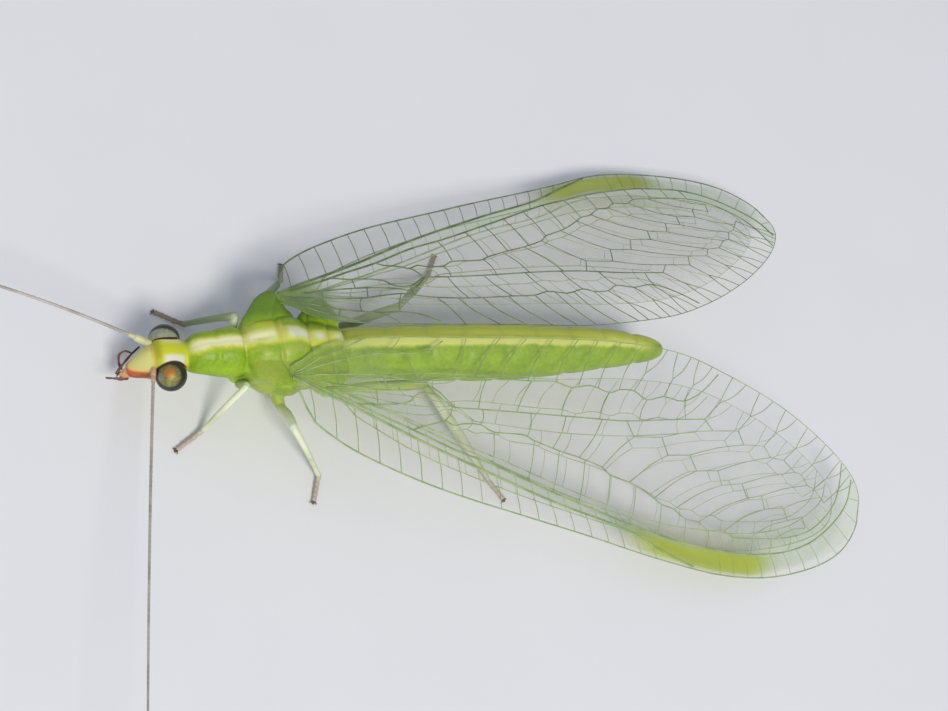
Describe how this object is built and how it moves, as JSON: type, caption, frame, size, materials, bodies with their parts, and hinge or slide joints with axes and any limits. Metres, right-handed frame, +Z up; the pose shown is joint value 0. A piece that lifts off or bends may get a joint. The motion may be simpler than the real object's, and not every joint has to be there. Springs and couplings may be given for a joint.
{
  "type": "green lacewing",
  "caption": "Still, life-size model of a green lacewing standing with its long veined wings half folded over its body and its two thread-like feelers spread.",
  "frame": {"origin": "centre of the bounding box, on the surface the insect stands on", "axes": "+X from the head to the tail, -Y to the insect's left side, +Z up"},
  "size_m": [0.026, 0.016, 0.0034],
  "materials": {
    "body_green": "satin",
    "head_green": "satin",
    "leg_green": "satin",
    "leg_tarsus": "satin",
    "antenna_tan": "matte",
    "mouth_brown": "satin",
    "eye": "glossy",
    "wing_membrane": "glossy"
  },
  "bodies": {
    "root": {"head": "head_green", "eye_left": "eye", "eye_right": "eye", "mouthparts": "mouth_brown", "palp_left": "mouth_brown", "palp_right": "mouth_brown", "antenna_left_scape": "antenna_tan", "antenna_left_flagellum": "antenna_tan", "antenna_right_scape": "antenna_tan", "antenna_right_flagellum": "antenna_tan", "prothorax": "body_green", "mesothorax": "body_green", "metathorax": "body_green", "abdomen": "body_green", "leg_fore_left_coxa": "leg_green", "leg_fore_left_femur": "leg_green", "leg_fore_left_tibia": "leg_green", "leg_fore_left_tarsus": "leg_tarsus", "leg_fore_right_coxa": "leg_green", "leg_fore_right_femur": "leg_green", "leg_fore_right_tibia": "leg_green", "leg_fore_right_tarsus": "leg_tarsus", "leg_mid_left_coxa": "leg_green", "leg_mid_left_femur": "leg_green", "leg_mid_left_tibia": "leg_green", "leg_mid_left_tarsus": "leg_tarsus", "leg_mid_right_coxa": "leg_green", "leg_mid_right_femur": "leg_green", "leg_mid_right_tibia": "leg_green", "leg_mid_right_tarsus": "leg_tarsus", "leg_hind_left_coxa": "leg_green", "leg_hind_left_femur": "leg_green", "leg_hind_left_tibia": "leg_green", "leg_hind_left_tarsus": "leg_tarsus", "leg_hind_right_coxa": "leg_green", "leg_hind_right_femur": "leg_green", "leg_hind_right_tibia": "leg_green", "leg_hind_right_tarsus": "leg_tarsus", "forewing_left": "wing_membrane", "forewing_right": "wing_membrane", "hindwing_left": "wing_membrane", "hindwing_right": "wing_membrane"}
  },
  "joints": []
}
